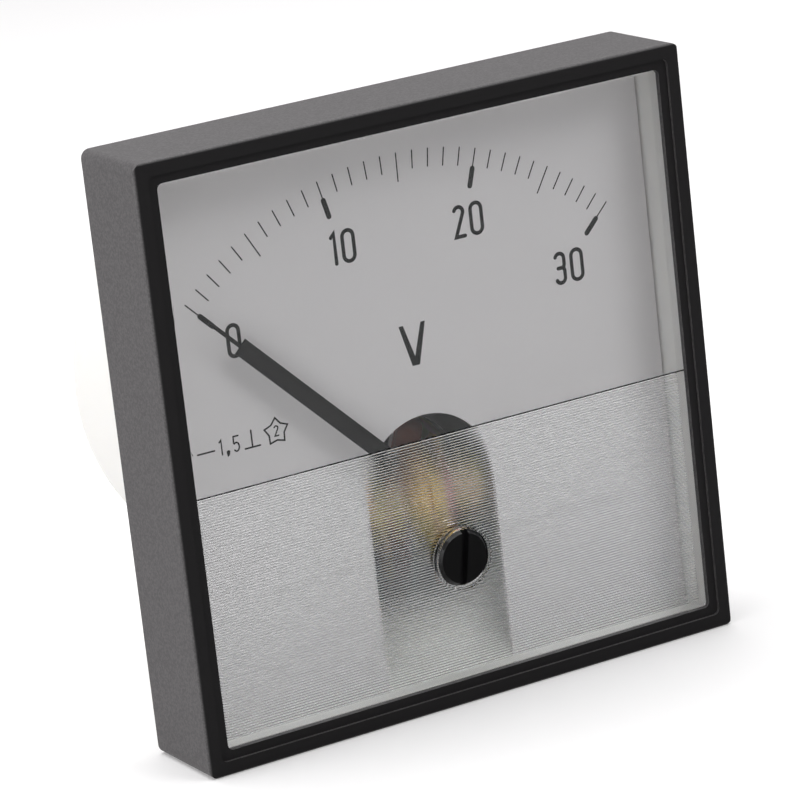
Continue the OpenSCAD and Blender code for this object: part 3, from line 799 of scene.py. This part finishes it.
def as_object(mesh: bmesh.types.BMesh, name: str, smooth: bool = False) -> bpy.types.Object:
    """Put a finished mesh into the scene.

    Args:
        mesh: Mesh in the row frame, in metres. It is freed.
        name: Name of the new object.
        smooth: True for smooth shading.

    Returns:
        The new object, unturned at the origin.
    """
    data = bpy.data.meshes.new(name)
    bmesh.ops.recalc_face_normals(mesh, faces=mesh.faces[:])
    mesh.to_mesh(data)
    mesh.free()
    for polygon in data.polygons:
        polygon.use_smooth = smooth
    thing = bpy.data.objects.new(name, data)
    bpy.context.scene.collection.objects.link(thing)
    log.info("made %s with %d faces", name, len(data.polygons))
    return thing


def paint(thing: bpy.types.Object, material: bpy.types.Material) -> None:
    """Give an object its only material.

    Args:
        thing: Object with a mesh.
        material: Material for all its faces.
    """
    thing.data.materials.clear()
    thing.data.materials.append(material)


# ---------------------------------------------------------------- studio


@dataclass(frozen=True)
class Lamp:
    """Soft box that looks at a target."""

    name: str
    place: tuple[float, float, float]
    target: tuple[float, float, float]
    size: tuple[float, float]
    power: float

    def build(self) -> None:
        """Add the lamp to the scene."""
        data = bpy.data.lights.new(self.name, "AREA")
        data.shape = "RECTANGLE"
        data.size, data.size_y = self.size
        data.energy = self.power
        lamp = bpy.data.objects.new(self.name, data)
        lamp.location = self.place
        aim = Vector(self.target) - Vector(self.place)
        lamp.rotation_euler = aim.to_track_quat("-Z", "Y").to_euler()
        lamp.visible_camera = False
        bpy.context.scene.collection.objects.link(lamp)
        log.info("lamp %s", self.name)


class Studio:
    """Light tent: a pale floor, a white background and soft light."""

    TENT_TINT: Colour = (1.0, 0.982, 0.99, 1.0)
    TENT_STRENGTH = (0.55, 0.05)
    DARK_SIDE = (0.55, -0.75, -0.35)
    FLOOR_RADIUS = 4.0
    PAPER: Colour = (0.93, 0.93, 0.93, 1.0)
    LIFT_TINT: Colour = (1.0, 0.99, 0.995, 1.0)
    LIFT = 0.13
    LAMPS = (
        Lamp("key", (0.30, -0.46, 0.52), (0.0, 0.0, 0.0), (0.30, 0.30), 1.1),
        Lamp("top", (0.0, 0.10, 0.62), (0.0, 0.0, 0.0), (0.6, 0.6), 3.0),
        Lamp("left", (-0.62, 0.15, 0.18), (0.0, 0.0, 0.0), (0.5, 0.5), 1.6),
    )

    def world(self) -> None:
        """Set the background: white to the camera, and a soft gradient as light."""
        world = bpy.data.worlds.new("tent")
        bpy.context.scene.world = world
        world.use_nodes = True
        graph = Graph(world.node_tree)
        way = graph.add("ShaderNodeTexCoord").outputs["Generated"]
        toward = graph.add("ShaderNodeVectorMath", operation="DOT_PRODUCT", in_0=way,
                           in_1=tuple(Vector(self.DARK_SIDE).normalized()))
        shade = graph.remap(toward.outputs["Value"], 0.1, 0.75, *self.TENT_STRENGTH)
        tent = graph.add("ShaderNodeBackground", in_Color=self.TENT_TINT, in_Strength=shade)
        white = graph.add("ShaderNodeBackground", in_Color=(1.0, 1.0, 1.0, 1.0), in_Strength=1.0)
        path = graph.add("ShaderNodeLightPath")
        mixed = graph.add("ShaderNodeMixShader", in_0=path.outputs["Is Camera Ray"],
                          in_1=tent.outputs["Background"], in_2=white.outputs["Background"])
        graph.add("ShaderNodeOutputWorld", in_Surface=mixed.outputs["Shader"])

    def floor(self) -> None:
        """Lay the pale floor, slightly lifted to the camera, under the frame's lower edge."""
        level = span_mm("bezel")[0].z * MM
        mesh = bmesh.new()
        bmesh.ops.create_circle(mesh, cap_ends=True, segments=64, radius=self.FLOOR_RADIUS,
                                matrix=Matrix.Translation((0, 0, level)))
        floor = as_object(mesh, "floor")
        material = bpy.data.materials.new("floor_paper")
        material.use_nodes = True
        graph = Graph(material.node_tree)
        paper = graph.add("ShaderNodeBsdfDiffuse", in_Color=self.PAPER)
        path = graph.add("ShaderNodeLightPath")
        seen = graph.math("MULTIPLY", path.outputs["Is Camera Ray"], self.LIFT)
        lift = graph.add("ShaderNodeEmission", in_Color=self.LIFT_TINT, in_Strength=seen)
        both = graph.add("ShaderNodeAddShader", in_0=paper.outputs["BSDF"], in_1=lift.outputs[0])
        graph.add("ShaderNodeOutputMaterial", in_Surface=both.outputs["Shader"])
        paint(floor, material)
        floor.visible_glossy = False

    def build(self) -> None:
        """Set up the whole studio."""
        self.world()
        self.floor()
        for lamp in self.LAMPS:
            lamp.build()
        view = bpy.context.scene.view_settings
        view.view_transform = "Standard"
        view.look = "None"


@dataclass(frozen=True)
class CameraRig:
    """Camera at the photograph's place."""

    place: tuple[float, float, float] = (-0.24067, -0.44053, 0.13588)
    right: tuple[float, float, float] = (0.85675, -0.50406, -0.10914)
    up: tuple[float, float, float] = (0.22555, 0.17590, 0.95822)
    lens_mm: float = 198.76

    def build(self) -> None:
        """Add the camera and make it the scene's own."""
        data = bpy.data.cameras.new("camera")
        data.lens = self.lens_mm
        data.sensor_width = 36.0
        data.clip_start, data.clip_end = 0.01, 20.0
        camera = bpy.data.objects.new("camera", data)
        right, up = Vector(self.right), Vector(self.up)
        back = right.cross(up)
        turn = Matrix((right, up, back)).transposed().to_4x4()
        camera.matrix_world = Matrix.Translation(self.place) @ turn
        bpy.context.scene.collection.objects.link(camera)
        bpy.context.scene.camera = camera


# ---------------------------------------------------------------- the meter


class Meter:
    """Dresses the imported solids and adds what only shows."""

    def __init__(self) -> None:
        """Build one material for each slot."""
        self.materials = {finish.slot.value: finish.build() for finish in FINISHES}
        log.info("built %d finishes", len(self.materials))

    def dress(self) -> None:
        """Give every CAD node the material of its slot."""
        for part in frame["record"]["subparts"]:
            node = frame["nodes"][part["node"]]
            paint(node, self.materials[part["material_slot"]])

    def add(self, thing: bpy.types.Object, body: str, slot: Slot) -> bpy.types.Object:
        """Paint a new piece and let it ride on a body.

        Args:
            thing: The new object.
            body: Name of the CAD body.
            slot: Material slot it takes its finish from.

        Returns:
            The same object.
        """
        paint(thing, self.materials[slot.value])
        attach(thing, body)
        return thing

    def build(self) -> None:
        """Dress the nodes and add the pieces that only show."""
        self.dress()
        self.add(DialPrint().build(), "case", Slot.POINTER_PAINT)


def main() -> None:
    """Build the whole scene."""
    Meter().build()
    Studio().build()
    CameraRig().build()


if __name__ == "__main__":
    main()
